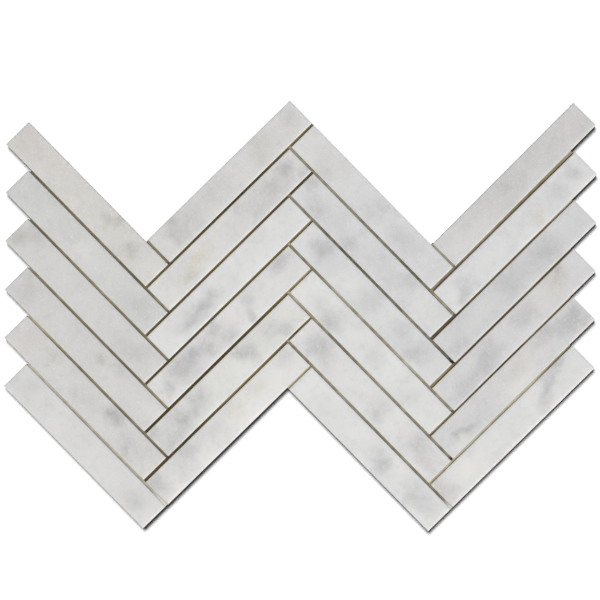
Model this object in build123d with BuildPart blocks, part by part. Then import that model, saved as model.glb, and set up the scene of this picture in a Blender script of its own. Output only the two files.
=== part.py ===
"""A mesh-mounted herringbone mosaic sheet of marble strips.

Four columns of strips lean left and right by turns, square to each other, so that the end of
each strip butts against the long side of a strip in the next column. A trimmed mesh backing
under the strips holds them at an even joint.

The sheet lies face up. The origin is under the middle of its outline, on the back of the
mesh. +X runs across the columns, +Y towards the first row, +Z out of the face.
All lengths are in millimetres.
"""

import os
from math import sqrt

from build123d import *

# Marble strips
strip_length = 148.8
strip_width = 23.6
strip_thickness = 9.5
arris = 0.2

# Layout
joint_width = 2.0
column_letters = "abcd"
rows = 6

# Strips laid visibly out of true: each one's slide along its length, its shift towards its
# upper side and its turn in degrees
out_of_true = {
    "b5": (0, -0.25, 0),
    "b6": (0, -0.35, 0),
    "d1": (-0.3, 0.15, 0.65),
    "d2": (0.3, -0.65, 0.2),
    "d3": (0.2, -0.5, 0.2),
    "d4": (0.1, -0.4, 0.15),
}

# Mesh backing
backing_thickness = 0.8
backing_setback = 0.8

# Along the diagonals of the pattern, each column is one strip's length and one joint further,
# and each row one strip's width and one joint further.
column_pitch = (strip_length + joint_width) / sqrt(2)
row_pitch = (strip_width + joint_width) * sqrt(2)

# The columns that lean right stand half a row higher than those that lean left.
column_rise = row_pitch / 2
middle_column = (len(column_letters) - 1) / 2
first_row_y = ((rows - 1) * row_pitch - column_rise) / 2

places = [(column, row) for column in range(len(column_letters)) for row in range(rows)]


def strip_place(column, row):
    """A strip's place in the pattern, on the back of the mesh, with x along the strip."""
    x = (column - middle_column) * column_pitch
    y = first_row_y - row * row_pitch
    leans_right = column % 2 == 1
    if leans_right:
        return Plane(origin=(x, y + column_rise, 0), x_dir=(1, 1, 0))
    return Plane(origin=(x, y, 0), x_dir=(1, -1, 0))


def strip_bed(column, row):
    """Where a strip is laid on the mesh, out of true where it is."""
    slide, shift, turn = out_of_true.get(f"{column_letters[column]}{row + 1}", (0, 0, 0))
    bed = strip_place(column, row).offset(backing_thickness)
    return bed.moved(Location((slide, shift, 0), (0, 0, turn)))


os.makedirs("parts", exist_ok=True)

# Marble strips: sawn bars with the arris of the face eased all round
for column, row in places:
    with BuildPart() as strip:
        with BuildSketch(strip_bed(column, row)):
            Rectangle(strip_length, strip_width)
        extrude(amount=strip_thickness)
        face = strip.faces().sort_by(Axis.Z)[-1]
        chamfer(face.edges(), length=arris)
    strip.part.label = f"marble_strip_{column_letters[column]}{row + 1}"
    export_step(strip.part, f"parts/{strip.part.label}.step")

# Mesh backing: the places of all strips, each with half a joint round it, fill the whole
# sheet, and the mesh is trimmed back from the stone's outline so that it stays hidden.
with BuildPart() as backing:
    with BuildSketch():
        for column, row in places:
            with Locations(strip_place(column, row)):
                Rectangle(strip_length + joint_width, strip_width + joint_width)
        offset(amount=-(joint_width / 2 + backing_setback), kind=Kind.INTERSECTION)
    extrude(amount=backing_thickness)
backing.part.label = "mesh_backing"
export_step(backing.part, f"parts/{backing.part.label}.step")
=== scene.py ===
# %% [markdown]
# # A herringbone mosaic sheet of marble
# The real object is a sheet of floor or wall mosaic: 24 sawn marble strips, laid in a herringbone and
# glued to a glass-fibre net that holds them a joint apart until they are set. The CAD model already
# gives every piece its place and size, so this lesson only dresses it. Camera and light come first,
# then the stone, the adhesive under it and in the joints, and the net on the back. The first cell
# loads the CAD model and keeps its box.

# %% Load the packed sheet
from collections import namedtuple
from math import atan2, cos, pi, radians, sin, sqrt

import bmesh
import bpy
from mathutils import Color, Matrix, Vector
from numpy import interp


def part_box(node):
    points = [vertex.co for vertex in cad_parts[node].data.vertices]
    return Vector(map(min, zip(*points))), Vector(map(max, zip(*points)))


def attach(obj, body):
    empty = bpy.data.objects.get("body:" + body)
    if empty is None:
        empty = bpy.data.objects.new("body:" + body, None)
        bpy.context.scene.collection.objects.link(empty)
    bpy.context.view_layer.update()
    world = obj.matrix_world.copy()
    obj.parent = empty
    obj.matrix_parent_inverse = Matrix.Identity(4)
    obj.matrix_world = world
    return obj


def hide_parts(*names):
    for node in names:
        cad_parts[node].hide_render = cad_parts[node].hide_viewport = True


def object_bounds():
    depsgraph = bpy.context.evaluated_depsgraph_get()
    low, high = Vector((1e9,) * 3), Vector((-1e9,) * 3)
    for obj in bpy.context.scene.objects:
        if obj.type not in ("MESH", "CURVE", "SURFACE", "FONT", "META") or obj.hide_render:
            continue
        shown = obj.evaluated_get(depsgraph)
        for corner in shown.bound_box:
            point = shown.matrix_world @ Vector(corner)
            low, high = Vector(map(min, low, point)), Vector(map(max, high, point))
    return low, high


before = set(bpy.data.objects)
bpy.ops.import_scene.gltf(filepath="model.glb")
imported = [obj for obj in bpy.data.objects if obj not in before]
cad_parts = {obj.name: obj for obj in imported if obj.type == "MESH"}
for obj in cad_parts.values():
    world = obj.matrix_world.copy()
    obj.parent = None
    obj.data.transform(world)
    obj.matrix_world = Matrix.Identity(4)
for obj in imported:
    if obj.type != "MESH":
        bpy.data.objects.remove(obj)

MM = 0.001
scene = bpy.context.scene
scene.view_settings.view_transform = "Standard"
cad_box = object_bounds()
strips = {name[-2:]: node for name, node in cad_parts.items() if name.startswith("marble_strip_")}
print(len(strips), "strips, box in mm", [round(x / MM, 1) for x in cad_box[1] - cad_box[0]])

# %% [markdown]
# ## The camera
# The photo looks straight down, from far enough away that no side of the sheet shows. A long lens high
# above the face does the same. Its height is a choice, and the lens then follows from how many
# millimetres of the face one pixel of the photo covers. The sheet lies a touch crooked in the photo, so
# the camera is turned the other way by that much, and moved until the sheet's middle falls where it
# does there.

# %% Camera
PHOTO_PX = 600
MM_PER_PX = 0.748
SHEET_MIDDLE_PX = (299.8, 315.3)
SHEET_TURN = radians(0.57)
CAMERA_HEIGHT = 2.4
SENSOR = 36.0


def add_object(name, data):
    """A new object in the scene, at the origin."""
    thing = bpy.data.objects.new(name, data)
    scene.collection.objects.link(thing)
    return thing


def directions(turn):
    """The directions along a thing that lies turned by this much, and down across it."""
    along = Vector((cos(turn), sin(turn), 0))
    return along, Vector((along.y, -along.x, 0))


camera = add_object("camera", bpy.data.cameras.new("camera"))
scene.camera = camera
face_height = cad_box[1].z
camera.data.sensor_width = SENSOR
camera.data.lens = SENSOR * (CAMERA_HEIGHT - face_height) / (PHOTO_PX * MM_PER_PX * MM)
right, down = directions(SHEET_TURN)
aside, below = ((PHOTO_PX / 2 - px) * MM_PER_PX * MM for px in SHEET_MIDDLE_PX)
camera.location = aside * right + below * down + Vector((0, 0, CAMERA_HEIGHT))
camera.rotation_euler = (0, 0, SHEET_TURN)
print("lens", round(camera.data.lens), "mm, at", [round(x / MM) for x in camera.location], "mm")

# %% [markdown]
# ## Writing node trees as sums
# A material is a tree of nodes, and wiring it by hand takes many lines. The small class below wraps one
# socket of a tree. Adding or multiplying two wires adds a Math node, and every other node comes from
# the method `node`, which takes the node's type, its settings, and what goes into its sockets. The same
# class serves shaders and Geometry Nodes, because both kinds of tree are built alike.

# %% A wire in a node tree
MIX_FIRST, MIX_SECOND, MIX_RESULT = 6, 7, 2  # the sockets of a Mix node that are colours


class Wire:
    """One socket of a node tree. Sums and products of wires add Math nodes to the tree."""

    def __init__(self, tree, socket=None):
        self.tree = tree
        self.socket = socket

    def node(self, kind, settings=None, inputs=None, output=0):
        """Adds a node to the tree and returns the wire from one of its outputs."""
        made = self.tree.nodes.new(kind)
        for name, value in (settings or {}).items():
            setattr(made, name, value)
        for key, value in (inputs or {}).items():
            if isinstance(value, Wire):
                self.tree.links.new(value.socket, made.inputs[key])
            else:
                made.inputs[key].default_value = value
        return Wire(self.tree, made.outputs[output] if made.outputs else None)

    def maths(self, operation, *values):
        return self.node("ShaderNodeMath", {"operation": operation}, dict(enumerate(values)))

    def vector(self, operation, *values, output=0):
        return self.node("ShaderNodeVectorMath", {"operation": operation}, dict(enumerate(values)), output)

    def part(self, axis):
        """One number of a vector."""
        return self.node("ShaderNodeSeparateXYZ", {}, {"Vector": self}, axis)

    def between(self, first, second):
        """The first colour where this wire is 0, the second where it is 1, and their mix in between."""
        inputs = {"Factor": self, MIX_FIRST: first, MIX_SECOND: second}
        return self.node("ShaderNodeMix", {"data_type": "RGBA"}, inputs, MIX_RESULT)

    def rising(self, start, end, top=1.0):
        """0 before start, top after end, and a smooth rise between them."""
        inputs = {"Value": self, "From Min": start, "From Max": end, "To Max": top}
        return self.node("ShaderNodeMapRange", {"interpolation_type": "SMOOTHSTEP"}, inputs)

    def noise(self, size, detail, roughness=0.5, block=None, output=0):
        """Noise at these coordinates, with features of about this size, other ones in every block."""
        inputs = {"Vector": self, "Scale": 1 / size, "Detail": detail, "Roughness": roughness}
        if block is None:
            return self.node("ShaderNodeTexNoise", {}, inputs, output)
        return self.node("ShaderNodeTexNoise", {"noise_dimensions": "4D"}, {**inputs, "W": block}, output)

    def __add__(self, other):
        return self.maths("ADD", self, other)

    def __sub__(self, other):
        return self.maths("SUBTRACT", self, other)

    def __rsub__(self, other):
        return self.maths("SUBTRACT", other, self)

    def __mul__(self, other):
        return self.maths("MULTIPLY", self, other)

    def __truediv__(self, other):
        return self.maths("DIVIDE", self, other)

    def __rtruediv__(self, other):
        return self.maths("DIVIDE", other, self)

    __radd__ = __add__
    __rmul__ = __mul__


print("a wire offers", ", ".join(name for name in vars(Wire) if not name.startswith("_")))

# %% [markdown]
# ## Starting and ending a finish
# Every finish here starts and ends alike: an empty tree that reads Object coordinates, and a Principled
# shader at its end. Object coordinates stay with a piece wherever it goes, and they are the same in
# every view. Colours are written as a picture shows them, from 0 to 255, and turned into linear light.

# %% Finishes and colours
def empty_tree(owner):
    """Switches on the nodes of a material or of the world, with none in them yet."""
    owner.use_nodes = True
    owner.node_tree.nodes.clear()
    return Wire(owner.node_tree)


def new_finish(name):
    """A new material, and the wire of its Object coordinates."""
    finish = bpy.data.materials.new(name)
    return finish, empty_tree(finish).node("ShaderNodeTexCoord", output="Object")


def end_finish(tint, settings, inputs):
    """Ends a finish with a Principled shader of this colour."""
    shader = tint.node("ShaderNodeBsdfPrincipled", settings, {"Base Color": tint, **inputs})
    shader.node("ShaderNodeOutputMaterial", {}, {"Surface": shader})


def put_on(mesh, finish):
    """Gives a mesh this finish alone."""
    mesh.materials.clear()
    mesh.materials.append(finish)


def colour(red, green, blue):
    """A colour as a picture shows it, 0 to 255, in the linear light that Blender works in."""
    shown = Color((red / 255, green / 255, blue / 255))
    return (*shown.from_srgb_to_scene_linear(), 1.0)


print("mid grey is", round(colour(128, 128, 128)[0], 3), "in linear light")

# %% [markdown]
# ## Floor, backdrop and light
# The photo is a cut-out on white. Its short soft shadow falls to the lower right, and yet the lower
# right edges of the strips are the bright ones, so the stone and its shadow were not lit by one lamp.
# Here each has a lamp of its own, and light linking, which tells a lamp what to shine on, keeps them
# apart. The stone's lamp stands to the lower right, at half height: it shines along the joints that
# run its way and leaves the others dark. The shadow's lamp stands high at the upper left: the higher
# it stands, the shorter the shadow, and the larger it looks, the softer the shadow's edge. It is the
# stronger lamp, over a floor painted darker by as much, so that no other light fills in the shadow.
# Through Light Path the floor and the world look white, but send less light to the stone.

# %% Lamps
STONE_LIGHT = {"share": 0.90, "bearing": radians(-58), "height": radians(50), "size": radians(45)}
SHADOW_LIGHT = {"share": 6.0, "bearing": radians(109), "height": radians(71.5), "size": radians(18)}


def sun(name, share, bearing, height, size):
    """A far lamp that gives a level white surface this share of full white."""
    lamp = add_object(name, bpy.data.lights.new(name, "SUN"))
    towards = Vector((cos(bearing) * cos(height), sin(bearing) * cos(height), sin(height)))
    lamp.rotation_euler = towards.to_track_quat("Z", "Y").to_euler()
    lamp.data.energy = pi * share / sin(height)
    lamp.data.angle = size
    return lamp


stone_light = sun("stone_light", **STONE_LIGHT)
shadow_light = sun("shadow_light", **SHADOW_LIGHT)
print("lamps of", [round(lamp.data.energy, 2) for lamp in (stone_light, shadow_light)])

# %% World
AMBIENT = 0.15
SEEN_BY = ("Camera", "Glossy", "Transmission")


def white_where_seen(tree, light, seen):
    """Grey for the light that a thing sends to others, and another grey where it is seen itself."""
    looks = sum(tree.node("ShaderNodeLightPath", output=f"Is {kind} Ray") for kind in SEEN_BY)
    return looks.between((light, light, light, 1), (seen, seen, seen, 1))


world = bpy.data.worlds.new("white_studio")
scene.world = world
sky = white_where_seen(empty_tree(world), AMBIENT, 1.0)
sky = sky.node("ShaderNodeBackground", {}, {"Color": sky})
sky.node("ShaderNodeOutputWorld", {}, {"Surface": sky})
print("light on the face:", STONE_LIGHT["share"], "from the lamp and", AMBIENT, "from all round")

# %% Floor
FLOOR_SIZE = 8.0
FLOOR_DROP = 0.1 * MM
FLOOR_LOOKS, FLOOR_SENDS = 1.05, 0.3  # how white it looks, and how white it is to the stone

floor_light = SHADOW_LIGHT["share"] + AMBIENT
floor_paint = bpy.data.materials.new("floor_paint")
paint = white_where_seen(empty_tree(floor_paint), FLOOR_SENDS / floor_light, FLOOR_LOOKS / floor_light)
paint = paint.node("ShaderNodeBsdfDiffuse", {}, {"Color": paint})
paint.node("ShaderNodeOutputMaterial", {}, {"Surface": paint})

floor_mesh = bpy.data.meshes.new("floor")
reach = FLOOR_SIZE / 2
corners = [(-reach, -reach), (reach, -reach), (reach, reach), (-reach, reach)]
floor_mesh.from_pydata([(x, y, -FLOOR_DROP) for x, y in corners], [], [(0, 1, 2, 3)])
put_on(floor_mesh, floor_paint)
floor = add_object("floor", floor_mesh)
print("floor of", FLOOR_SIZE, "m, painted a grey of", round(FLOOR_LOOKS / floor_light, 3))


# %% Keep the two lamps apart
def link_light(lamp, thing, state):
    """Makes a lamp shine on this thing alone, INCLUDE, or on all but this thing, EXCLUDE."""
    group = bpy.data.collections.new(f"{lamp.name}_{state.lower()}")
    group.objects.link(thing)
    group.collection_objects[0].light_linking.link_state = state
    lamp.light_linking.receiver_collection = group


link_light(shadow_light, floor, "INCLUDE")
link_light(stone_light, floor, "EXCLUDE")
print(floor.name, "lit by", shadow_light.name, "alone, all else by", stone_light.name)

# %% [markdown]
# ## What each strip shows
# No two strips are alike: each was sawn from another part of the block. The stone is a warm white with
# soft grey clouds, and here and there a brown or yellow spot where iron has stained it. Noise alone
# gives the right kind of stone but never these strips, so the clouds that catch the eye are placed one
# by one. A strip has its tone and its marks. A tone is partly the strip's own and partly painted light:
# the lower rows are on the whole painted lighter, as if more light fell on them. For each mark the list
# says what it is, how far along the strip and how far down from its upper side it lies, its half length
# and half width, all in millimetres, and how strong it is.

# %% Marks of column a
# Painted light: each tone is partly the strip's own and partly a lighter paint on the lower rows, as if
# more light fell there.
LOOKS = {
    "a1": ((211, 209, 205), [
        ("rose", 35, 8, 14, 8, 0.35), ("rose", 8, 10, 11, 12, 0.55), ("umber", 94, 9, 6, 5, 0.4),
        ("umber", 100, 3, 4, 4, 0.4), ("umber", 122, 12, 5, 5, 0.45), ("milk", 139, 12, 14, 10, 0.2)]),
    "a2": ((208, 208, 206), [
        ("milk", 75, 12, 14, 9, 0.25), ("smoke", 50, 10, 10, 9, 0.08), ("smoke", 134, 13, 12, 9, 0.15),
        ("smoke", 30, 2, 14, 4, 0.12)]),
    "a3": ((210, 209, 207), [
        ("umber", 5, 14, 6, 7, 0.45), ("smoke", 13, 4, 9, 6, 0.22), ("smoke", 112, 16, 18, 8, 0.11),
        ("smoke", 130, 11, 9, 8, 0.12)]),
    "a4": ((209, 208, 206), [
        ("umber", 88, 9, 5, 4, 0.4), ("smoke", 103, 5, 6, 5, 0.22), ("umber", 14, 12, 7, 6, 0.22),
        ("milk", 120, 15, 18, 9, 0.2), ("milk", 139, 7, 13, 9, 0.32), ("smoke", 5, 4, 5, 5, 0.2),
        ("smoke", 10, 20, 14, 6, 0.1)]),
    "a5": ((212, 210, 208), [
        ("smoke", 99, 6, 8, 6, 0.62), ("smoke", 123, 17, 4, 5, 0.3), ("smoke", 119, 9, 5, 6, 0.15),
        ("smoke", 80, 11, 8, 6, 0.17), ("smoke", 67, 16, 7, 5, 0.17), ("rose", 14, 14, 12, 8, 0.3),
        ("umber", 36, 7, 7, 6, 0.25)]),
    "a6": ((217, 216, 215), [
        ("smoke", 131, 13, 7, 6, 0.26), ("smoke", 12, 14, 14, 10, 0.12), ("milk", 142, 8, 8, 9, 0.2)]),
}
print(sum(len(marks) for tone_and_painted_light, marks in LOOKS.values()), "marks on column a")

# %% Marks of column b
LOOKS |= {
    "b1": ((213, 212, 210), [
        ("smoke", 19, 13, 7, 9, 0.3), ("umber", 24, 2, 5, 3, 0.5), ("smoke", 38, 12, 16, 10, 0.16),
        ("smoke", 60, 9, 10, 8, 0.16), ("umber", 110, 6, 8, 7, 0.26), ("umber", 104, 15, 8, 6, 0.22),
        ("smoke", 141, 9, 7, 7, 0.15)]),
    "b2": ((217, 216, 214), [
        ("ochre", 29, 15, 6, 5, 0.6), ("ochre", 44, 11, 10, 7, 0.65), ("umber", 27, 16, 4, 4, 0.3),
        ("smoke", 112, 12, 30, 14, 0.25), ("smoke", 121, 13, 7, 7, 0.2), ("smoke", 136, 8, 6, 6, 0.45),
        ("smoke", 143, 20, 4, 4, 0.35), ("smoke", 102, 17, 8, 6, 0.12), ("umber", 89, 4, 6, 5, 0.25)]),
    "b3": ((220, 220, 219), [
        ("smoke", 41, 14, 19, 6, 0.34), ("smoke", 46, 16, 6, 5, 0.25), ("smoke", 37, 13, 6, 4, 0.1),
        ("smoke", 30, 16, 6, 4, 0.15), ("smoke", 56, 11, 8, 6, 0.2)]),
    "b4": ((220, 219, 218), [
        ("smoke", 10, 14, 5, 5, 0.35), ("umber", 24, 6, 6, 6, 0.2), ("smoke", 25, 8, 7, 7, 0.28),
        ("smoke", 38, 7, 8, 6, 0.4), ("smoke", 35, 14, 30, 10, 0.2), ("smoke", 54, 15, 5, 5, 0.25),
        ("smoke", 64, 5, 6, 6, 0.4), ("smoke", 71, 17, 7, 5, 0.3), ("smoke", 93, 18, 4, 6, 0.4),
        ("smoke", 99, 6, 5, 6, 0.3), ("smoke", 136, 4, 11, 5, 0.45), ("smoke", 49, 8, 8, 8, 0.25)]),
    "b5": ((219, 219, 216), [
        ("smoke", 5, 4, 5, 4, 0.35), ("smoke", 12, 13, 14, 10, 0.25), ("smoke", 28, 11, 6, 7, 0.45),
        ("smoke", 38, 13, 5, 5, 0.35), ("smoke", 47, 10, 8, 9, 0.35), ("smoke", 97, 9, 8, 8, 0.42),
        ("smoke", 90, 5, 7, 5, 0.25), ("smoke", 99, 17, 4, 5, 0.25), ("smoke", 120, 7, 8, 7, 0.25),
        ("smoke", 129, 16, 6, 7, 0.38), ("smoke", 10, 20, 15, 6, 0.26), ("smoke", 20, 3, 6, 4, 0.22),
        ("smoke", 49, 4, 9, 6, 0.14), ("milk", 80, 17, 22, 8, 0.3), ("milk", 143, 6, 8, 8, 0.4)]),
    "b6": ((222, 221, 219), [
        ("smoke", 6, 9, 7, 10, 0.35), ("smoke", 38, 6, 9, 7, 0.22), ("smoke", 62, 10, 12, 10, 0.16),
        ("ochre", 87, 9, 9, 7, 0.45), ("ochre", 110, 8, 6, 5, 0.4), ("smoke", 139, 6, 7, 6, 0.2),
        ("smoke", 26, 14, 3, 3, 0.15), ("smoke", 34, 3, 44, 7, 0.13), ("smoke", 2, 4, 6, 7, 0.18),
        ("milk", 104, 17, 46, 9, 0.5)]),
}
print(sum(len(marks) for tone_and_painted_light, marks in LOOKS.values()), "marks with column b")

# %% Marks of column c
LOOKS |= {
    "c1": ((214, 214, 214), [
        ("ochre", 22, 9, 22, 10, 0.2), ("smoke", 79, 12, 7, 7, 0.2), ("smoke", 82, 3, 9, 5, 0.15),
        ("smoke", 103, 13, 8, 7, 0.28), ("smoke", 118, 9, 8, 8, 0.17), ("smoke", 33, 19, 8, 4, 0.15)]),
    "c2": ((214, 214, 214), [
        ("smoke", 4, 5, 7, 7, 0.35), ("smoke", 19, 16, 11, 8, 0.28), ("smoke", 56, 18, 7, 6, 0.4),
        ("smoke", 57, 5, 7, 5, 0.15), ("smoke", 83, 9, 8, 9, 0.18), ("smoke", 97, 12, 9, 9, 0.17),
        ("smoke", 108, 4, 8, 6, 0.33), ("smoke", 42, 13, 6, 9, 0.14), ("milk", 128, 12, 18, 10, 0.2)]),
    "c3": ((216, 216, 216), [
        ("smoke", 19, 9, 9, 8, 0.52), ("smoke", 71, 11, 9, 10, 0.22), ("smoke", 103, 10, 10, 8, 0.2),
        ("smoke", 126, 10, 8, 8, 0.32), ("smoke", 122, 18, 6, 5, 0.25), ("milk", 50, 16, 14, 8, 0.25)]),
    "c4": ((221, 221, 219), [
        ("smoke", 37, 18, 9, 6, 0.42), ("smoke", 42, 9, 6, 8, 0.12), ("smoke", 20, 13, 8, 7, 0.12),
        ("umber", 54, 4, 5, 5, 0.2), ("umber", 79, 12, 8, 5, 0.12), ("smoke", 83, 16, 7, 5, 0.1),
        ("smoke", 121, 11, 8, 8, 0.12)]),
    "c5": ((221, 220, 219), [
        ("smoke", 20, 9, 12, 10, 0.46), ("smoke", 13, 17, 6, 6, 0.2), ("smoke", 85, 16, 7, 6, 0.35),
        ("smoke", 86, 6, 6, 5, 0.18), ("smoke", 122, 8, 8, 8, 0.4), ("smoke", 135, 13, 11, 9, 0.25)]),
    "c6": ((222, 222, 221), [
        ("smoke", 89, 14, 10, 8, 0.38), ("smoke", 90, 9, 6, 5, 0.2), ("smoke", 122, 9, 10, 9, 0.3),
        ("smoke", 125, 17, 7, 5, 0.22), ("smoke", 136, 10, 8, 9, 0.22)]),
}
print(sum(len(marks) for tone_and_painted_light, marks in LOOKS.values()), "marks with column c")

# %% Marks of column d
LOOKS |= {
    "d1": ((207, 206, 205), [
        ("umber", 67, 9, 6, 5, 0.18), ("smoke", 76, 14, 8, 7, 0.12), ("umber", 97, 8, 6, 7, 0.14),
        ("rose", 134, 10, 18, 12, 0.4), ("smoke", 118, 13, 14, 8, 0.08), ("smoke", 100, 2, 44, 6, 0.1),
        ("smoke", 62, 8, 16, 10, 0.07), ("milk", 22, 17, 24, 8, 0.3), ("smoke", 141, 19, 9, 6, 0.16)]),
    "d2": ((217, 217, 217), [
        ("smoke", 20, 14, 8, 8, 0.3), ("umber", 13, 20, 5, 4, 0.3), ("ochre", 95, 14, 6, 5, 0.55),
        ("umber", 93, 17, 4, 5, 0.2), ("smoke", 119, 12, 9, 8, 0.26), ("smoke", 136, 9, 6, 6, 0.38),
        ("smoke", 97, 7, 9, 7, 0.16), ("milk", 40, 12, 16, 9, 0.2)]),
    "d3": ((209, 209, 209), [
        ("smoke", 67, 5, 8, 6, 0.25), ("smoke", 71, 14, 9, 7, 0.3), ("milk", 38, 10, 13, 9, 0.22),
        ("smoke", 106, 12, 12, 9, 0.42), ("smoke", 88, 8, 12, 10, 0.15), ("smoke", 8, 16, 8, 6, 0.2),
        ("smoke", 25, 5, 14, 6, 0.1)]),
    "d4": ((212, 211, 211), [
        ("smoke", 26, 17, 22, 7, 0.24), ("smoke", 43, 14, 8, 7, 0.2), ("smoke", 52, 8, 8, 9, 0.25),
        ("smoke", 89, 9, 10, 8, 0.34), ("umber", 125, 7, 9, 7, 0.4), ("umber", 128, 1, 5, 3, 0.4),
        ("ochre", 112, 9, 14, 9, 0.25)]),
    "d5": ((212, 211, 211), [
        ("smoke", 15, 13, 4, 3, 0.35), ("smoke", 24, 15, 5, 3, 0.4), ("smoke", 20, 14, 16, 8, 0.15),
        ("ochre", 84, 10, 22, 12, 0.3), ("smoke", 134, 11, 14, 9, 0.5), ("smoke", 112, 5, 12, 5, 0.35),
        ("smoke", 144, 12, 6, 9, 0.16), ("milk", 11, 20, 9, 5, 0.5), ("milk", 74, 19, 18, 6, 0.4)]),
    "d6": ((219, 219, 218), [
        ("smoke", 4, 8, 7, 10, 0.34), ("rose", 6, 9, 8, 10, 0.4), ("smoke", 104, 16, 6, 4, 0.3),
        ("smoke", 112, 10, 7, 4, 0.42), ("smoke", 121, 6, 7, 4, 0.4), ("smoke", 131, 1, 7, 3, 0.45),
        ("ochre", 25, 8, 16, 9, 0.12), ("milk", 32, 11, 22, 9, 0.5), ("smoke", 134, 3, 14, 6, 0.12)]),
}
print(sum(len(marks) for tone_and_painted_light, marks in LOOKS.values()), "marks in all, on", len(LOOKS), "strips")

# %% [markdown]
# ## Where each strip lies
# A mark is placed along its own strip, so the stone needs to know how each strip lies. The corners of
# the CAD mesh say it: a strip lies at a slant, so its four corners are its furthest points to the west,
# east, south and north. A strip starts at its left end, and its upper side is the one that is higher in
# the photo.

# %% Where each strip lies
LaidStrip = namedtuple("LaidStrip", "corner turn along down length width")


def lie_of(strip, leans_right):
    """How a strip lies, from its corner at its left end and upper side, on its face."""
    points = [vertex.co for vertex in strip.data.vertices]
    face = max(point.z for point in points)
    foot = [point for point in points if point.z < face / 2]
    west, east = min(foot, key=lambda point: point.x), max(foot, key=lambda point: point.x)
    south, north = min(foot, key=lambda point: point.y), max(foot, key=lambda point: point.y)
    corner, far, below = (west, north, south) if leans_right else (north, east, west)
    span = far - corner
    turn = atan2(span.y, span.x)
    on_face = Vector((corner.x, corner.y, face))
    return LaidStrip(on_face, turn, *directions(turn), span.length, (below - corner).length)


laid = {label: lie_of(strip, leans_right=label[0] in "bd") for label, strip in strips.items()}
strip_length, strip_width = laid["b2"].length, laid["b2"].width
low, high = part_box("marble_strip_b2")
strip_thickness = high.z - low.z
print("strips of", [round(x / MM, 1) for x in (strip_length, strip_width, strip_thickness)], "mm")

# %% [markdown]
# ## The colour of the marble
# Each strip gets a material of its own from one function. It reads Object coordinates, and a Mapping
# node turns them into the strip's own: millimetres along it from its left end, down from its upper
# side, and up from its face. Noise bends those coordinates before the marks are drawn, so that their
# rims wander like real clouds. Three more noises add a broad veil, small mottling and the sugary grain
# of marble.

# %% Noises in the stone
STONE_NOISES = {  # the size of its features in mm, its detail, and where in the block it is taken
    "wander": (9.0, 1.5, 0.0),
    "veil": (26.0, 3.0, 0.3),
    "mottle": (5.0, 3.0, 0.6),
    "grain": (1.2, 2.0, 0.9),
    "saw_lines": (0.5, 3.0, 0.0),
}
NOISE_ROUGHNESS = 0.55


def stone_noise(place, kind, block, output=0):
    """One of the noises in the stone, at this place of this block."""
    size, detail, apart = STONE_NOISES[kind]
    return place.noise(size, detail, NOISE_ROUGHNESS, block + apart, output)


print({kind: size for kind, (size, detail, apart) in STONE_NOISES.items()}, "mm")

# %% Clouds
MARK_COLOURS = {
    "smoke": colour(162, 161, 163),
    "umber": colour(168, 163, 152),
    "ochre": colour(209, 203, 190),
    "rose": colour(205, 199, 196),
    "milk": colour(231, 230, 227),
}
MARK_RIM, MARK_DEPTH = 1.7, 2.5  # how far a mark fades out, and how deep it goes, in half sizes
MARK_UNEVEN = 0.8
CLOUD_BEND = 12.0


def mark_mask(bent, along, across, half_length, half_width, strength):
    """A soft patch: its strength at the middle, and nothing past its rim."""
    depth = MARK_DEPTH * max(half_length, half_width)
    spread = (1 / half_length, 1 / half_width, 1 / depth)
    middle = (-along / half_length, -across / half_width, 0)
    distance = bent.vector("LENGTH", bent.vector("MULTIPLY_ADD", bent, spread, middle), output="Value")
    return distance.rising(MARK_RIM, 0.0, strength)


def clouded(stone, place, marks, block, mottle):
    """The stone with its own marks on it, their rims bent by noise."""
    wander = stone_noise(place, "wander", block, output="Color")
    wander = wander.vector("SUBTRACT", wander, (0.5, 0.5, 0.5))
    bent = wander.vector("MULTIPLY_ADD", wander, (CLOUD_BEND, CLOUD_BEND, CLOUD_BEND), place)
    uneven = 1 - MARK_UNEVEN / 2 + MARK_UNEVEN * mottle
    for kind, tint in MARK_COLOURS.items():
        masks = [mark_mask(bent, *shape) for found, *shape in marks if found == kind]
        if masks:
            stone = (sum(masks) * uneven).between(stone, tint)
    return stone


print("marks of", ", ".join(MARK_COLOURS))

# %% Colour of the stone
VEIL = (0.35, 0.75, 0.16)  # where in the noise it starts and is full, and how strong it is then
MOTTLE = (0.45, 0.8, 0.17)
GRAIN = (0.5, 0.8, 0.60)


def stone_colour(place, tone_and_painted_light, marks, block, mottle, grain):
    """A strip's tone, which is partly painted light, under its veil, its marks, its mottling and its light
    grain.
    """
    veil = stone_noise(place, "veil", block)
    stone = veil.rising(*VEIL).between(colour(*tone_and_painted_light), MARK_COLOURS["smoke"])
    stone = clouded(stone, place, marks, block, mottle)
    stone = mottle.rising(*MOTTLE).between(stone, MARK_COLOURS["smoke"])
    return grain.rising(*GRAIN).between(stone, MARK_COLOURS["milk"])


print("veil up to", VEIL[-1], "mottling up to", MOTTLE[-1], "grain up to", GRAIN[-1])

# %% [markdown]
# ## The sides of a strip
# The face is honed, but the sides are as the saw left them: rougher, with fine lines along them, and
# with adhesive that has crept a little way up from the back. They could have a material of their own,
# but then the clouds would stop at the edge. So one material does both, and tells the sides by the
# direction that they face.

# %% Sides
SIDE_FACING = (0.6, 0.2)
CREEP_HEIGHT, CREEP_FULL = 2.2, 0.2
CREEP_LEAST, CREEP_UNEVEN = 0.35, 0.4
SAW_STRETCH = (0.02, 0.02, 1)
SAW_RELIEF, GRAIN_RELIEF = 0.05, 0.012


def sides(place):
    """1 on the sides of a strip, and 0 on its face."""
    upwards = place.node("ShaderNodeNewGeometry", output="True Normal").part("Z")
    return upwards.maths("ABSOLUTE", upwards).rising(*SIDE_FACING)


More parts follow.
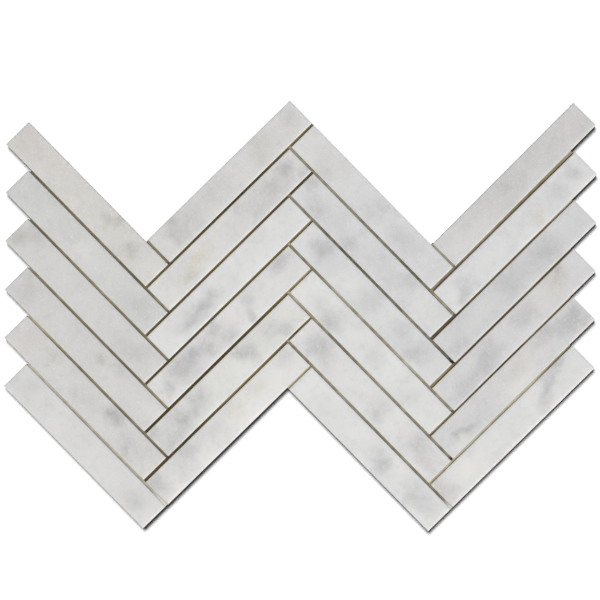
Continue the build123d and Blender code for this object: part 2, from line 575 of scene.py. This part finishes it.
def crept_adhesive(place, mottle):
    """How much adhesive there is on the foot of the sides, up to an uneven line."""
    above_foot = place.part("Z") + strip_thickness / MM
    uneven = above_foot + CREEP_HEIGHT * (mottle - 0.5)
    return uneven.rising(CREEP_HEIGHT, CREEP_FULL) * (CREEP_LEAST + CREEP_UNEVEN * mottle)


def stone_relief(place, block, sawn, grain):
    """Lines along the sawn sides and fine grain all over, as a bump."""
    stretched = place.vector("MULTIPLY", place, SAW_STRETCH)
    saw_lines = stone_noise(stretched, "saw_lines", block)
    height = saw_lines * sawn * SAW_RELIEF + grain * GRAIN_RELIEF
    return height.node("ShaderNodeBump", {}, {"Height": height, "Distance": MM})


print("saw lines", SAW_RELIEF, "mm deep, adhesive about", CREEP_HEIGHT, "mm up the sides")

# %% [markdown]
# ## The marble on the strips
# Light travels a few millimetres inside marble before it comes out again. Subsurface scattering does
# that, and gives the edges their glow. What is the same all over the stone, such as the depth of that
# glow, is set on the shader itself, and only the colour, the roughness and the bump come from nodes.

# %% Marble
FACE_ROUGHNESS, SAWN_ROUGHNESS, ROUGHNESS_UNEVEN = 0.48, 0.68, 0.08
FACE_SHINE = 0.35
GLOW_DEPTH, GLOW_COLOURS = 5.0 * MM, (1.0, 0.9, 0.8)
ADHESIVE = colour(150, 138, 104)
BLOCK_STEP = 2.0


def marble(label, tone_and_painted_light, marks, block):
    """The finish of one strip."""
    finish, place = new_finish(f"marble_{label}")
    place = place.node("ShaderNodeMapping", {"vector_type": "TEXTURE"}, {
        "Vector": place, "Location": laid[label].corner, "Rotation": (0, 0, laid[label].turn),
        "Scale": (MM, -MM, MM)})
    mottle = stone_noise(place, "mottle", block)
    grain = stone_noise(place, "grain", block)
    sawn = sides(place)
    stone = stone_colour(place, tone_and_painted_light, marks, block, mottle, grain)
    stone = crept_adhesive(place, mottle).between(stone, ADHESIVE)
    roughness = FACE_ROUGHNESS + (SAWN_ROUGHNESS - FACE_ROUGHNESS) * sawn
    end_finish(stone, {"subsurface_method": "RANDOM_WALK"}, {
        "Roughness": roughness + ROUGHNESS_UNEVEN * (mottle - 0.5),
        "Normal": stone_relief(place, block, sawn, grain), "Specular IOR Level": FACE_SHINE,
        "Subsurface Weight": 1.0, "Subsurface Radius": GLOW_COLOURS, "Subsurface Scale": GLOW_DEPTH})
    return finish


for number, (label, (tone_and_painted_light, marks)) in enumerate(LOOKS.items()):
    finish = marble(label, tone_and_painted_light, marks, BLOCK_STEP * number)
    put_on(strips[label].data, finish)
print("marble on", len(strips), "strips,", len(finish.node_tree.nodes), "nodes on the last one")

# %% [markdown]
# ## The adhesive film
# The strips were pressed into a film of resin spread over the net. It is the floor of every joint, an
# uneven olive brown. The finish is a wet-looking resin with thin and thick places, dusty where it comes
# up to the face. Some joints are painted browner than others, as painted shade, so the finish reads a
# number, "brown", which is stored on the mesh of a joint. The film has no such number,
# and there it counts as 0.

# %% Resin
# The last colour on each of the next two lines is painted shade: how resin and its dust look in a joint
# that lies in shade.
RESIN, RESIN_THIN, RESIN_IN_PAINTED_SHADE = colour(140, 130, 102), colour(172, 164, 142), colour(152, 133, 80)
DUST, DUST_IN_PAINTED_SHADE = colour(215, 212, 204), colour(204, 194, 148)
BLOTCH_SIZE, BLOTCH_DETAIL = 7 * MM, 4.0
GRIT_SIZE, GRIT_DETAIL = 0.8 * MM, 3.0
THIN_PLACES = (0.35, 0.7)
DUST_HEIGHTS = (8.0 * MM, 10.2 * MM)
RESIN_RELIEF = 0.15 * MM
RESIN_ROUGHNESS, GRIT_ROUGHNESS = 0.35, 0.3


def resin(name):
    """The finish of the film and of the adhesive in the joints."""
    finish, place = new_finish(name)
    blotch = place.noise(BLOTCH_SIZE, BLOTCH_DETAIL)
    grit = place.noise(GRIT_SIZE, GRIT_DETAIL)
    patchy = 0.5 + grit
    brown = place.node("ShaderNodeAttribute", {"attribute_name": "brown"}, output="Fac")
    tint = (blotch.rising(*THIN_PLACES) * patchy).between(RESIN, RESIN_THIN)
    # Painted shade: joints that lie in shade get a browner resin and a straw-coloured dust.
    tint = brown.between(tint, RESIN_IN_PAINTED_SHADE)
    dust = brown.between(DUST, DUST_IN_PAINTED_SHADE)
    tint = (place.part("Z").rising(*DUST_HEIGHTS) * patchy).between(tint, dust)
    relief = grit.node("ShaderNodeBump", {}, {"Height": blotch + 0.5 * grit, "Distance": RESIN_RELIEF})
    end_finish(tint, {}, {"Roughness": RESIN_ROUGHNESS + GRIT_ROUGHNESS * grit, "Normal": relief})
    return finish


resin_finish = resin("resin")
print("resin of", len(resin_finish.node_tree.nodes), "nodes")

# %% [markdown]
# ## The shape of the film
# The CAD backing already has the film's outline, so the film is a copy of it, with its underside raised
# so that the threads of the net stand out below it. A CAD mesh is loose triangles: a copy is merged
# before its faces are turned outwards.

# %% Film
FILM_BOTTOM = 0.26 * MM
MERGE_DISTANCE = 0.001 * MM


def turn_outwards(mesh):
    """Merges the loose corners of a mesh and turns its faces outwards."""
    shape = bmesh.new()
    shape.from_mesh(mesh)
    bmesh.ops.remove_doubles(shape, verts=shape.verts, dist=MERGE_DISTANCE)
    bmesh.ops.recalc_face_normals(shape, faces=shape.faces)
    shape.to_mesh(mesh)
    shape.free()


film_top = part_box("mesh_backing")[1].z
film_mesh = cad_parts["mesh_backing"].data.copy()
turn_outwards(film_mesh)
for vertex in film_mesh.vertices:
    vertex.co.z = max(vertex.co.z, FILM_BOTTOM)
put_on(film_mesh, resin_finish)
film = add_object("adhesive_film", film_mesh)
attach(film, "root")
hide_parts("mesh_backing")
print("film from", FILM_BOTTOM / MM, "to", round(film_top / MM, 2), "mm,", len(film_mesh.polygons), "faces")

# %% [markdown]
# ## Adhesive in the joints
# When a strip is pressed down, adhesive wells up beside it. Some joints are nearly full and look light,
# others are nearly empty and look dark, and that shows in the photo more than anything else about
# them. Each joint is one line between two strips of a column, with the height of the adhesive at five
# places along it, in millimetres from the back of the sheet, and at its very end where that differs.
# Joints of the columns that lean right are painted browner as painted shade, and those of column c get no
# such shade at all. Three short joints, at the upper and lower outline, lie between the side of one strip
# and the end of another.

# %% Heights of the adhesive
LEVELS = {
    "a": [(4, 5, 5.5, 3, 6.5), (4.5, 7, 8, 6, 6.5), (7, 6.5, 5.5, 4.5, 8), (9, 6.5, 7, 6.5, 5.5),
          (9.2, 9, 9, 9, 9.1, 11.5)],
    "b": [(8, 6.5, 5.5, 6, 8), (7.5, 7, 8.5, 7, 5.5), (6.5, 6, 8, 8, 8.5), (5.5, 5.5, 5, 6.5, 9, 9.3),
          (6, 5.5, 8.5, 8.5, 7, 9)],
    "c": [(7, 7, 5.5, 2.5, 7.5), (6, 2, 3, 6, 2.5), (6.5, 9, 8, 9, 7.5), (8.5, 5, 8.5, 8, 6.5),
          (6.5, 8, 6.5, 7, 6, 11)],
    "d": [(7.7, 8.8, 8.4, 8.2, 8.6), (5.6, 8, 8.5, 8, 9), (8.6, 7.3, 7.3, 8.3, 7.3),
          (8.8, 8.1, 7, 8.9, 8.7), (9.5, 9.7, 9.5, 9.8, 9)],
}
LEVEL_PLACES = (0.1, 0.3, 0.5, 0.7, 0.9)  # as shares of a joint's length
SHORT_LEVELS = {("a1", "upper"): 6, ("c1", "upper"): 8.2, ("b6", "lower"): 9.6}
# How much painted shade browns a column's joints, or the one below a strip where that one differs
PAINTED_SHADE_BROWN = {"a": 0.35, "a5": 0.15, "b": 0.95, "c": 0.0, "d": 0.65, "d1": 0.4}
print(sum(len(rows) for rows in LEVELS.values()), "long joints and", len(SHORT_LEVELS), "short ones")

# %% Walls of a joint
COLUMNS = "abcd"
pitch = (laid["b3"].corner - laid["b2"].corner).dot(laid["b2"].down)
joint_width = pitch - strip_width


def on_lower_side(label, distance):
    """The point of a strip's lower side, so far along it from its left end."""
    strip = laid[label]
    return strip.corner + strip.down * strip.width + strip.along * distance


def near_wall(upper, lower, distance):
    """A point of a joint's upper wall, so far along the upper strip from its left end.

    Before that strip's left end and past its right end, the wall is the end of a strip beside it.
    """
    point = on_lower_side(upper, distance)
    column = COLUMNS.index(upper[0])
    if distance < -joint_width / 2:
        beside = laid[COLUMNS[column - 1] + upper[1]]
        end = beside.length
    elif distance > strip_length + joint_width / 2:
        beside = laid[COLUMNS[column + 1] + lower[1]]
        end = 0
    else:
        return point
    return point + beside.along * ((beside.corner - point).dot(beside.along) + end)


print("joints of", round(joint_width / MM, 2), "mm, one every", round(pitch / MM, 2), "mm")

# %% Points of a joint
END_GAP = 1.2 * MM  # how far inside the sheet's toothed edges the adhesive ends
# Where the joints of a column start and end, along the upper strip from its left end
SPANS = {
    "a": (pitch + END_GAP, strip_length + pitch),
    "b": (-pitch, strip_length),
    "c": (0, strip_length + pitch),
    "d": (-pitch, strip_length - pitch - END_GAP),
}


def stops_along(start, end, levels):
    """Distances along a joint, where a height is given and where a wall ends, with the height at each."""
    places = [start + share * (end - start) for share in (0, *LEVEL_PLACES, 1)]
    heights = (levels[0], *levels[:len(LEVEL_PLACES)], levels[-1])
    wall_ends = (-joint_width, 0, strip_length, strip_length + joint_width)
    stops = sorted(places + [stop for stop in wall_ends if start + END_GAP < stop < end - END_GAP])
    return [(stop, interp(stop, places, heights)) for stop in stops]


def joint_point(wall, gap, level, brown):
    """A point in the middle of a joint, with the adhesive's height and width there, and its painted shade.
    """
    middle = wall + gap / 2
    return (middle.x, middle.y, film_top), {"level": level * MM, "width": gap.length, "brown": brown}


first_stops = [round(stop / MM) for stop, height in stops_along(*SPANS["a"], LEVELS["a"][0])]
print("the first joint has points at", first_stops, "mm")


# %% Lines along the joints
def joint_between(upper, lower, levels):
    """The joint from the lower side of one strip to the upper side of the next."""
    brown = PAINTED_SHADE_BROWN.get(upper, PAINTED_SHADE_BROWN[upper[0]])
    line = []
    for distance, level in stops_along(*SPANS[upper[0]], levels):
        wall = near_wall(upper, lower, distance)
        gap = laid[lower].down * (laid[lower].corner - wall).dot(laid[lower].down)
        line.append(joint_point(wall, gap, level, brown))
    return line


def joint_beside(label, side, level):
    """The joint from the lower or upper side of a strip to the left end of one in the next column."""
    gap = laid[label].down * joint_width
    line = []
    for distance in (strip_length - strip_width, strip_length):
        wall = on_lower_side(label, distance)
        if side == "upper":
            line.append(joint_point(wall - laid[label].down * strip_width, -gap, level, PAINTED_SHADE_BROWN[label[0]]))
        else:
            line.append(joint_point(wall, gap, level, PAINTED_SHADE_BROWN[label[0]]))
    return line


joints = [joint_between(f"{column}{row}", f"{column}{row + 1}", levels)
          for column, rows in LEVELS.items() for row, levels in enumerate(rows, start=1)]
joints += [joint_beside(label, side, level) for (label, side), level in SHORT_LEVELS.items()]
widths = [numbers["width"] / MM for line in joints for point, numbers in line]
print(len(joints), "joints,", round(min(widths), 2), "to", round(max(widths), 2), "mm wide")

# %% [markdown]
# ## Pieces that Geometry Nodes make
# The adhesive in the joints and the threads of the net both follow lines: many lines, each with the
# same section swept along it. Geometry Nodes suit that, because one tree does all lines at once. A tree
# here starts with named sizes, turns a mesh of lines into curves with a point at every step, and ends
# with real faces that carry a finish.

# %% Start and end of a tree
def geometry_tree(name, sizes):
    """A new tree with named sizes, and the wires from its inputs by name."""
    tree = bpy.data.node_groups.new(name, "GeometryNodeTree")
    tree.interface.new_socket("Geometry", in_out="OUTPUT", socket_type="NodeSocketGeometry")
    tree.interface.new_socket("Geometry", in_out="INPUT", socket_type="NodeSocketGeometry")
    for size in sizes:
        tree.interface.new_socket(size, in_out="INPUT", socket_type="NodeSocketFloat")
    start = tree.nodes.new("NodeGroupInput")
    return tree, {socket.name: Wire(tree, socket) for socket in start.outputs if socket.name}


def stepped_curves(lines, step):
    """A mesh of lines as curves, with a point at every step."""
    curves = lines.node("GeometryNodeMeshToCurve", {}, {"Mesh": lines})
    return curves.node("GeometryNodeResampleCurve", {"mode": "LENGTH"}, {"Curve": curves, "Length": step})


def end_tree(shape, finish):
    """Ends a tree with real faces that carry a finish."""
    shape = shape.node("GeometryNodeRealizeInstances", {}, {"Geometry": shape})
    shape = shape.node("GeometryNodeSetMaterial", {}, {"Geometry": shape, "Material": finish})
    shape.node("NodeGroupOutput", {}, {"Geometry": shape})


joint_tree, given = geometry_tree("joint_adhesive", [
    "Film top", "Brim", "Step", "Lump size", "Lump height", "Sag"])
print("the tree takes", ", ".join(given))

# %% [markdown]
# ## A section that knows its sides
# The adhesive fills its joint from wall to wall, so its section is a square as wide as the joint. A
# circle of eight points, cut off at 1 on every side, gives that square with a point in the middle of
# each side. Every point keeps two numbers, each from -1 to 1: how far across the joint it is, and how far
# up. They tell the next step how far to lift each point.

# %% Section of the adhesive
SECTION_POINTS = 8


def stored(wire, name):
    """A number stored on the points of a shape."""
    return wire.node("GeometryNodeInputNamedAttribute", {"data_type": "FLOAT"}, {"Name": name})


def moved(shape, x, y, z):
    """A shape with its points moved to these places."""
    place = shape.node("ShaderNodeCombineXYZ", {}, {"X": x, "Y": y, "Z": z})
    return shape.node("GeometryNodeSetPosition", {}, {"Geometry": shape, "Position": place})


place = given["Geometry"].node("GeometryNodeInputPosition")
section = place.node("GeometryNodeCurvePrimitiveCircle", {}, {
    "Resolution": SECTION_POINTS, "Radius": sqrt(2)})
for name, axis in (("across", "X"), ("rise", "Y")):
    cut_off = place.node("ShaderNodeClamp", {}, {"Value": place.part(axis), "Min": -1.0})
    section = section.node("GeometryNodeStoreNamedAttribute", {"data_type": "FLOAT"}, {
        "Geometry": section, "Name": name, "Value": cut_off})
across, rise = stored(section, "across"), stored(section, "rise")
section = moved(section, across * 0.5, rise * 0.5, 0.0)
print("section of", SECTION_POINTS, "points,", len(joint_tree.nodes), "nodes so far")

# %% [markdown]
# ## Filling the joints
# The tree sweeps the section along the lines, as wide as the joint is at each point. Then it lifts the
# upper points to the height of the adhesive, lower in the middle than at the stone, with lumps, and
# nowhere quite up to the face.

# %% Fill the joints
LEAST_DEPTH = 0.1 * MM
LUMP_DETAIL = 3.0

curves = stepped_curves(given["Geometry"], given["Step"])
bead = curves.node("GeometryNodeCurveToMesh", {}, {
    "Curve": curves, "Profile Curve": section, "Scale": stored(curves, "width"), "Fill Caps": True})
lumps = place.noise(given["Lump size"], LUMP_DETAIL)
height = stored(bead, "level") + given["Lump height"] * (lumps - 0.5)
height = height - given["Sag"] * (1 - across * across)
depth = height.maths("MINIMUM", height, given["Brim"]) - given["Film top"]
depth = depth.maths("MAXIMUM", depth, LEAST_DEPTH)
lifted = given["Film top"] + (0.5 + 0.5 * rise) * depth
end_tree(moved(bead, place.part("X"), place.part("Y"), lifted), resin_finish)
print("the tree has", len(joint_tree.nodes), "nodes")

# %% [markdown]
# ## Running a tree
# A tree runs as a modifier on a mesh of lines. Its sizes are set by the identifiers of its sockets
# before Blender looks at the result for the first time. The result is kept as a plain mesh and the
# modifier is removed, because only real faces can be handed over. A sweep may come out inside out, so
# its faces are turned outwards at the end.

# %% Lines as a mesh
def line_mesh(name, lines):
    """A mesh of separate lines. Each point of a line comes with the numbers to store on it, by name."""
    mesh = bpy.data.meshes.new(name)
    stops = [stop for line in lines for stop in line]
    edges = []
    for line in lines:
        first = edges[-1][1] + 1 if edges else 0
        edges += [(first + step, first + step + 1) for step in range(len(line) - 1)]
    mesh.from_pydata([point for point, numbers in stops], edges, [])
    for attribute in stops[0][1]:
        values = mesh.attributes.new(attribute, "FLOAT", "POINT")
        values.data.foreach_set("value", [numbers[attribute] for point, numbers in stops])
    return mesh


joint_lines = line_mesh("joint_lines", joints)
print(len(joint_lines.vertices), "points on the lines of the joints")

# %% Adhesive in the joints
BEAD_STEP = 1.2 * MM
LUMP_SIZE, LUMP_HEIGHT = 5 * MM, 0.9 * MM
SAG = 0.5 * MM
BRIM_DROP = 0.15 * MM


def grow(name, mesh, tree, sizes):
    """Runs a tree on a mesh of lines and keeps what it makes as a plain mesh."""
    piece = add_object(name, mesh)
    modifier = piece.modifiers.new(tree.name, "NODES")
    modifier.node_group = tree
    for socket in tree.interface.items_tree:
        if socket.in_out == "INPUT" and socket.name in sizes:
            modifier[socket.identifier] = sizes[socket.name]
    evaluated = piece.evaluated_get(bpy.context.evaluated_depsgraph_get())
    made = bpy.data.meshes.new_from_object(evaluated)
    piece.modifiers.remove(modifier)
    piece.data = made
    turn_outwards(made)
    return piece


beads = grow("joint_adhesive", joint_lines, joint_tree, {
    "Film top": film_top, "Brim": face_height - BRIM_DROP, "Step": BEAD_STEP,
    "Lump size": LUMP_SIZE, "Lump height": LUMP_HEIGHT, "Sag": SAG})
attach(beads, "root")
highest = max(vertex.co.z for vertex in beads.data.vertices)
print("adhesive in the joints:", len(beads.data.polygons), "faces, up to", round(highest / MM, 1), "mm")

# %% [markdown]
# ## The net
# The net is a plain weave of flat glass-fibre yarns, cut to the outline of the backing. It could be a
# bump in a material, but it is all that the back of the sheet shows, so it is made of real threads.
# Python only finds where each thread enters and leaves the outline, and the tree does the weaving.

# %% Outline of the film
RIM_TOLERANCE = 0.01 * MM


def upright(face):
    """Whether a face stands up, as those round the edge of the film do."""
    return abs(face.normal.z) < 0.5


shape = bmesh.new()
shape.from_mesh(film_mesh)
rim = [[vertex.co.copy() for vertex in edge.verts] for edge in shape.edges
       if all(vertex.co.z > film_top - RIM_TOLERANCE for vertex in edge.verts)
       and any(upright(face) for face in edge.link_faces)]
shape.free()
print(len(rim), "edges round the top of the film")

# %% Threads
NET_PITCH = 5 * MM
NET_OFFSET = NET_PITCH / 3
YARN_WIDTH = 0.7 * MM


def crossings(at, across, along):
    """Where a straight line at this distance from the middle meets the outline."""
    return sorted(p[along] + (q[along] - p[along]) * (at - p[across]) / (q[across] - p[across])
                  for p, q in rim if (p[across] - at) * (q[across] - at) < 0)


def threads_along(along):
    """Threads along x, 0, or y, 1, from edge to edge of the outline, each with the side it starts on."""
    across = 1 - along
    side = 1.0 if along == 1 else -1.0
    count = int(max(abs(point[across]) for ends in rim for point in ends) / NET_PITCH)
    lines = []
    for step in range(-count, count + 1):
        at = step * NET_PITCH + NET_OFFSET
        met = crossings(at, across, along)
        for start, end in zip(met[::2], met[1::2]):
            if end - start > NET_PITCH:
                reaches = (start + YARN_WIDTH, end - YARN_WIDTH)
                points = [(at, reach, 0) if along == 1 else (reach, at, 0) for reach in reaches]
                lines.append([(point, {"side": side}) for point in points])
    return lines


threads = threads_along(1) + threads_along(0)
print(len(threads), "threads, one every", NET_PITCH / MM, "mm")

# %% [markdown]
# ## The yarn
# Glass-fibre yarn is off-white and silky, and yellower where resin has soaked into it. Two noises do
# that: a broad one for the soaked places, the same as the blotches of the film, and a fine one for the
# fibres.

# %% Yarn
YARN, YARN_SOAKED = colour(214, 210, 196), colour(178, 164, 126)
SOAKED_PLACES = (0.4, 0.65)
FIBRE_SIZE, FIBRE_DETAIL, FIBRE_RELIEF = 0.2 * MM, 2.0, 0.05 * MM
YARN_ROUGHNESS, FIBRE_ROUGHNESS = 0.4, 0.3


def yarn(name):
    """The finish of the threads."""
    finish, place = new_finish(name)
    soaked = place.noise(BLOTCH_SIZE, BLOTCH_DETAIL)
    fibres = place.noise(FIBRE_SIZE, FIBRE_DETAIL)
    tint = soaked.rising(*SOAKED_PLACES).between(YARN, YARN_SOAKED)
    relief = fibres.node("ShaderNodeBump", {}, {"Height": fibres, "Distance": FIBRE_RELIEF})
    end_finish(tint, {}, {"Roughness": YARN_ROUGHNESS + FIBRE_ROUGHNESS * fibres, "Normal": relief})
    return finish


yarn_finish = yarn("glass_fibre_yarn")
print("yarn of", len(yarn_finish.node_tree.nodes), "nodes")

# %% [markdown]
# ## The weave
# In a plain weave each thread goes over one crossing thread and under the next. A cosine along the
# thread does that, half a turn for every pitch, with the other sign for the threads that run across.
# The section is a flat diamond of four corners, which is enough for a thread this thin.

# %% Weave
YARN_CORNERS = 4

net_tree, given = geometry_tree("woven_net", ["Pitch", "Yarn width", "Yarn thickness", "Swing"])
place = given["Geometry"].node("GeometryNodeInputPosition")
x, y = place.part("X"), place.part("Y")
curves = stepped_curves(given["Geometry"], given["Pitch"] * 0.5)
turns = (x + y) / given["Pitch"]
wave = turns.maths("COSINE", turns * pi) * stored(curves, "side")
middle = given["Swing"] + given["Yarn thickness"] * 0.5
curves = moved(curves, x, y, middle + given["Swing"] * wave)
section = place.node("GeometryNodeCurvePrimitiveCircle", {}, {"Resolution": YARN_CORNERS, "Radius": 0.5})
section = moved(section, x * given["Yarn width"], y * given["Yarn thickness"], 0.0)
woven = curves.node("GeometryNodeCurveToMesh", {}, {
    "Curve": curves, "Profile Curve": section, "Fill Caps": True})
end_tree(woven, yarn_finish)
print("the tree has", len(net_tree.nodes), "nodes and takes", ", ".join(given))

# %% Net
YARN_THICKNESS = 0.18 * MM
WEAVE_SWING = 0.09 * MM

net = grow("woven_net", line_mesh("thread_lines", threads), net_tree, {
    "Pitch": NET_PITCH, "Yarn width": YARN_WIDTH, "Yarn thickness": YARN_THICKNESS, "Swing": WEAVE_SWING})
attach(net, "root")
heights = [vertex.co.z / MM for vertex in net.data.vertices]
lowest, highest = round(min(heights), 3), round(max(heights), 3)
print("net:", len(net.data.polygons), "faces, from", lowest, "to", highest, "mm")

# %% [markdown]
# ## The backing, one glued sheet
# The net and its film lie flat under the strips, trimmed just inside their outline. With the adhesive in
# the joints they are one glued sheet on the real object.
